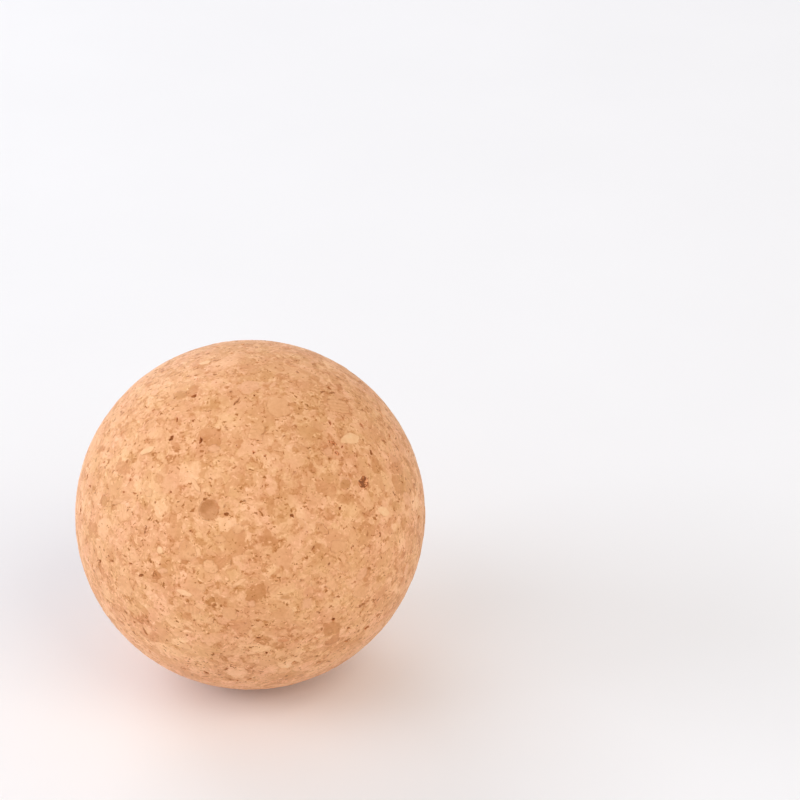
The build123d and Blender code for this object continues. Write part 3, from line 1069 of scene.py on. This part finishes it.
def cork_mosaic(nodes, place, recess_shade=None):
    """Colour, finest relief and joints of the pressed fine cork."""
    granule_colour, edge, space = granule_field(nodes, place)
    red, green, _ = nodes.split(granule_colour)
    offset = mosaic_tone(nodes, place, red, edge)
    grain_offset, height = grain(nodes, place)
    lines = growth_lines(nodes, place, granule_colour, space, red)
    offset = offset + (grain_offset + lines)
    # joints between granules: a dark line in places, a pale torn edge in others
    where = nodes.noise(place, scale=0.9, detail=2.0, rough=0.6)
    joint = (nodes.step(edge, between=(0.0, 0.16), to=(1.0, 0.0))
             * nodes.step(where, between=(0.50, 0.66)))
    pale = (nodes.step(edge, between=(0.03, 0.16), to=(1.0, 0.0))
            * nodes.step(where, between=(0.47, 0.36)))
    offset = offset - joint * 29.0
    offset = nodes.mix(pale * 0.50, offset, 21.0)
    offset = mosaic_specks(nodes, place, space, offset)
    # painted shade in the pores and pocket walls, darker with depth
    if recess_shade is not None:
        offset = nodes.mix(recess_shade * 0.78, offset, -80.0)
    # rosier and yellower granules, and a slow drift of the whole ball between the two
    drift = nodes.noise(place, scale=0.26, detail=2.0, rough=0.6)
    rosy = (nodes.step(drift, between=(0.34, 0.66), to=(-1.25, 1.25), smooth=False)
            + nodes.step(green, between=(0.10, 0.90), to=(-0.75, 0.75), smooth=False))
    tint = nodes.combine(1.0 + rosy * 0.006, 1.0 - rosy * 0.016, 1.0 + rosy * 0.016)
    return nodes.vec("MULTIPLY", shade(nodes, offset), tint), height, joint


def painted_depth_shade(nodes, place, full, none):
    """Painted shade for recesses: 1 at the full depth under the ball's surface and below, 0 above
    the other depth.
    """
    distance = nodes.vec("LENGTH", place)
    return nodes.step(distance, between=(RADIUS - full, RADIUS - none), to=(1.0, 0.0))


def body_material():
    material, nodes, surface, place = new_material("fine_cork")
    # open pores and pocket walls get painted shade inside, darker the deeper they go
    recess_shade = painted_depth_shade(nodes, place, full=0.34, none=0.11)
    colour, height, joint = cork_mosaic(nodes, place, recess_shade)
    patches = nodes.noise(place, scale=1.7, detail=2.0, rough=0.5)
    rough = nodes.step(patches, between=(0.3, 0.7), to=(0.58, 0.74)) + joint * 0.10
    finish_cork(nodes, surface, colour, height, rough, sheen=0.12)
    return material


class Look(NamedTuple):
    tones: tuple                  # darkest, middle and palest offset
    shift: tuple                  # of red, green and blue
    lined: float                  # strength of the growth lines
    speckled: float               # amount of specks
    own: float                    # how far its own colour holds against the mosaic's
    torn: float                   # width of its torn edge, mm


LOOKS = {
    # node: tones, shift, lined, speckled, own, torn
    "light_tan_granules": Look((-15, -4, 6), (0, 0, 0), 1.6, 0.25, 0.62, 0.30),
    "honey_granules": Look((-2, 8, 18), (0, 0, -1), 1.2, 0.20, 0.70, 0.28),
    "pink_tan_granules": Look((-7, 4, 13), (1, -1, 4), 1.0, 0.20, 0.74, 0.28),
    "large_smooth_granules": Look((-7, 1, 7), (0, 0, 0), 0.8, 0.06, 0.90, 0.30),
    "amber_brown_granules": Look((-31, -15, -3), (0, 0, 0), 2.2, 0.55, 0.68, 0.34),
    "olive_brown_granules": Look((-46, -28, -13), (-2, 2, 0), 2.6, 0.60, 0.84, 0.24),
    "striated_flakes": Look((-12, -2, 9), (0, 0, 0), 6.0, 0.15, 0.88, 0.20),
    "pale_cream_flakes": Look((9, 19, 31), (-1, 4, 2), 1.0, 0.05, 0.92, 0.16),
    "pale_slivers": Look((10, 18, 26), (0, 1, 0), 2.6, 0.05, 0.90, 0.14),
    "red_brown_slabs": Look((-30, -19, -8), (4, -4, -2), 4.0, 0.30, 0.86, 0.22),
    # the red bark's palest tone is painted glints; its darker tones are the bark's own
    "red_bark_flecks": Look((-108, -58, 14), (5, -5, -4), 6.0, 0.60, 0.97, 0.14),
    "round_knot_granule": Look((-44, -30, -15), (-3, 0, 4), 2.2, 0.30, 0.90, 0.30),
    "dark_bark_specks": Look((-100, -66, -30), (2, 0, 0), 5.0, 0.30, 0.94, 0.16),
}
BARK = ("red_bark_flecks", "dark_bark_specks")
TURN = 6.283                      # radians


def granule_tone(nodes, place, node, tone):
    """Tone of a granule, 0..1: its own and two sizes of patches; curls in the red bark, between its
    dark bark and painted glints.
    """
    if node == "red_bark_flecks":
        # curls between the red bark's dark tone and its palest tone, which is painted glints
        bark_glint_curl = nodes.noise(place, scale=1.25, detail=2.0, rough=0.55, distortion=1.4)
        return nodes.step(bark_glint_curl, between=(0.36, 0.62))
    patch_scale, fleck_scale = (1.8, 4.5) if node in BARK else (0.55, 1.9)
    patch = nodes.noise(place, patch_scale, detail=2.0, rough=0.5)
    fleck = nodes.noise(place, fleck_scale, detail=3.0, rough=0.6)
    mixed = tone * 0.46 + nodes.step(patch, between=(0.3, 0.7), smooth=False) * 0.28
    flecks = nodes.step(fleck, between=(0.3, 0.7), smooth=False) * 0.26
    return nodes.math("ADD", mixed, flecks, clamp=True)


def knot_shade_and_outline(nodes, place, offset, rim):
    """Painted shade, darker at the knot's upper left and lighter at its lower right, with a dark
    line round its lower right.
    """
    plane = groups["round_knot_granule"][0].plane
    slant = nodes.vec("DOT_PRODUCT", place, tuple(unit(plane.east - plane.north)))
    wave = nodes.noise(place, scale=0.8, detail=2.0, rough=0.5)
    shade_side = slant + (wave - 0.5) * 2.4
    # painted shade across the knot, from its upper left to its lower right
    offset = offset + nodes.step(shade_side, between=(-0.7, 0.5), to=(-15.0, 8.0))
    arc = (nodes.step(rim, between=(0.04, 0.26), to=(1.0, 0.0))
           * nodes.step(slant, between=(0.1, 0.7)))
    return offset - arc * 28.0


def granule_lines(nodes, place, tone, hue):
    """Growth lines, -1 to 1, set each granule's own way."""
    turn, tip = hue * TURN, tone * TURN
    way = nodes.combine(
        nodes.math("COSINE", turn) * nodes.math("SINE", tip),
        nodes.math("SINE", turn),
        nodes.math("COSINE", turn) * nodes.math("COSINE", tip),
    )
    waver = nodes.noise(place, scale=0.9, detail=3.0, rough=0.5)
    run = nodes.vec("DOT_PRODUCT", place, way) * 12.0
    return nodes.math("SINE", run + waver * 7.0)


def granule_material(node, look):
    material, nodes, surface, place = new_material(node)
    tone, hue, rim = (nodes.attribute("chip_" + name) for name in ("tone", "hue", "rim"))
    around, around_height, _ = cork_mosaic(nodes, place)
    own_tone = granule_tone(nodes, place, node, tone)
    stops = list(zip((0.0, 0.5, 1.0), look.tones))
    offset = nodes.curve(own_tone, stops, low=LOWEST, high=HIGHEST)
    if node == "round_knot_granule":
        offset = knot_shade_and_outline(nodes, place, offset, rim)
    grain_offset, grain_height = grain(nodes, place)
    lines = granule_lines(nodes, place, tone, hue)
    offset = offset + grain_offset * 0.65 + lines * look.lined
    speck, _ = specks(nodes, place, place, scale=1.5, keep=1.0 - 0.35 * look.speckled,
                      size=0.40, seed=5.0)
    offset = offset - speck * 26.0
    # a line round the granule, dark only in places
    where = nodes.noise(place, scale=0.7, detail=2.0, rough=0.6)
    ring = (nodes.step(rim, between=(0.0, 0.16), to=(1.0, 0.0))
            * nodes.step(where, between=(0.44, 0.60)))
    offset = offset - ring * 20.0
    # painted shade on the granule's walls deep under the skin, darker with depth
    if node not in BARK:
        recess_shade = painted_depth_shade(nodes, place, full=0.42, none=0.16)
        offset = nodes.mix(recess_shade * 0.70, offset, -90.0)
    middle = look.tones[1]
    tint = tuple(own / plain for own, plain in zip(cork(middle, look.shift), cork(middle)))
    colour = nodes.vec("MULTIPLY", shade(nodes, offset), tint)
    # its torn edge, where the mosaic round it takes over
    tear = nodes.noise(place, scale=1.6, detail=3.0, rough=0.6)
    into = rim + (tear - 0.5) * (2.6 * look.torn)
    at_rim = 0.15 if look.torn > 0.15 else 0.40
    hold = nodes.step(into, between=(0.0, look.torn), to=(at_rim, look.own))
    colour = nodes.mix(hold, around, colour, kind="RGBA")
    height = grain_height * 0.6 + lines * (0.0006 * look.lined)
    height = nodes.mix(hold, around_height, height)
    patches = nodes.noise(place, scale=1.9, detail=2.0, rough=0.5)
    rough_span = (0.30, 0.55) if node == "red_bark_flecks" else (0.56, 0.72)
    rough = nodes.step(patches, between=(0.3, 0.7), to=rough_span)
    finish_cork(nodes, surface, colour, height, rough, sheen=0.03 if node in BARK else 0.12)
    return material


for node, piece in pieces.items():
    piece.data.materials.clear()
    material = body_material() if node == BODY else granule_material(node, LOOKS[node])
    piece.data.materials.append(material)
    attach(piece, "root")
    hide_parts(node)


# ------------------------------------------------------------------ floor, light, camera
FLOOR_REACH = 3000.0              # from the middle to each side


def build_floor():
    """A pale square that the ball rests on."""
    bottom = min(verts_of(piece.data)[:, 2].min() for piece in pieces.values())
    corners = [(x * FLOOR_REACH, y * FLOOR_REACH, bottom)
               for x, y in ((-1, -1), (1, -1), (1, 1), (-1, 1))]
    floor = new_mesh("floor", corners, [(0, 1, 2, 3)])
    material, nodes, surface, place = new_material("pale_floor")
    patches = nodes.noise(place, scale=0.02, detail=3.0, rough=0.5)
    colour = nodes.mix(patches, (0.885, 0.875, 0.888, 1), (0.920, 0.910, 0.923, 1), kind="RGBA")
    nodes.put(surface.inputs["Base Color"], colour)
    surface.inputs["Roughness"].default_value = 0.75
    floor.data.materials.append(material)


def build_world():
    world = bpy.data.worlds.new("studio")
    scene.world = world
    world.use_nodes = True
    background = world.node_tree.nodes["Background"]
    background.inputs["Color"].default_value = (1.0, 0.99, 1.0, 1)
    background.inputs["Strength"].default_value = 0.51


def aim(piece, direction):
    piece.rotation_mode = "QUATERNION"
    piece.rotation_quaternion = direction.to_track_quat("-Z", "Y")


# square lights, in metres, all facing the ball
LIGHT_DISTANCE, LIGHT_SIZE = 2.0, 1.2
SOFTBOXES = [
    # name, degrees round from the front (-Y) towards +X, degrees up, watts, colour
    ("left_low", -85, 20, 15.8, (0.965, 1.03, 1.13)),
    ("left_high", -50, 45, 5.2, (0.98, 1.02, 1.09)),
    ("front_right", 40, 45, 12.0, (0.985, 0.925, 0.79)),
    ("right_low", 75, 20, 3.3, (1.0, 0.90, 0.74)),
    ("back_left", -155, 26, 13.0, (0.97, 1.02, 1.11)),
]


def build_lights():
    for name, azimuth, elevation, power, colour in SOFTBOXES:
        data = bpy.data.lights.new(name, "AREA")
        data.shape = "SQUARE"
        data.size = LIGHT_SIZE
        data.energy = power
        data.color = colour
        light = bpy.data.objects.new(name, data)
        scene.collection.objects.link(light)
        around, up = math.radians(azimuth), math.radians(elevation)
        toward_light = Vector((math.sin(around) * math.cos(up), -math.cos(around) * math.cos(up),
                               math.sin(up)))
        light.location = toward_light * LIGHT_DISTANCE
        aim(light, -toward_light)


CAMERA_PLACE = (0.0, -0.3217238, 0.1892047)   # metres
CAMERA_HEADING = 3.8072           # degrees from +Y towards +X
CAMERA_PITCH = 28.0               # degrees down
LENS, SENSOR_WIDTH = 117.0, 36.0


def build_camera():
    camera = bpy.data.objects.new("camera", bpy.data.cameras.new("camera"))
    scene.collection.objects.link(camera)
    scene.camera = camera
    heading, pitch = math.radians(CAMERA_HEADING), math.radians(CAMERA_PITCH)
    ahead = Vector((math.sin(heading) * math.cos(pitch), math.cos(heading) * math.cos(pitch),
                    -math.sin(pitch)))
    camera.location = CAMERA_PLACE
    aim(camera, ahead)
    camera.data.sensor_width = SENSOR_WIDTH
    camera.data.lens = LENS
    camera.data.clip_start = 0.01
    camera.data.clip_end = 20.0


build_floor()
build_world()
build_lights()
build_camera()
scene.view_settings.view_transform = "Standard"
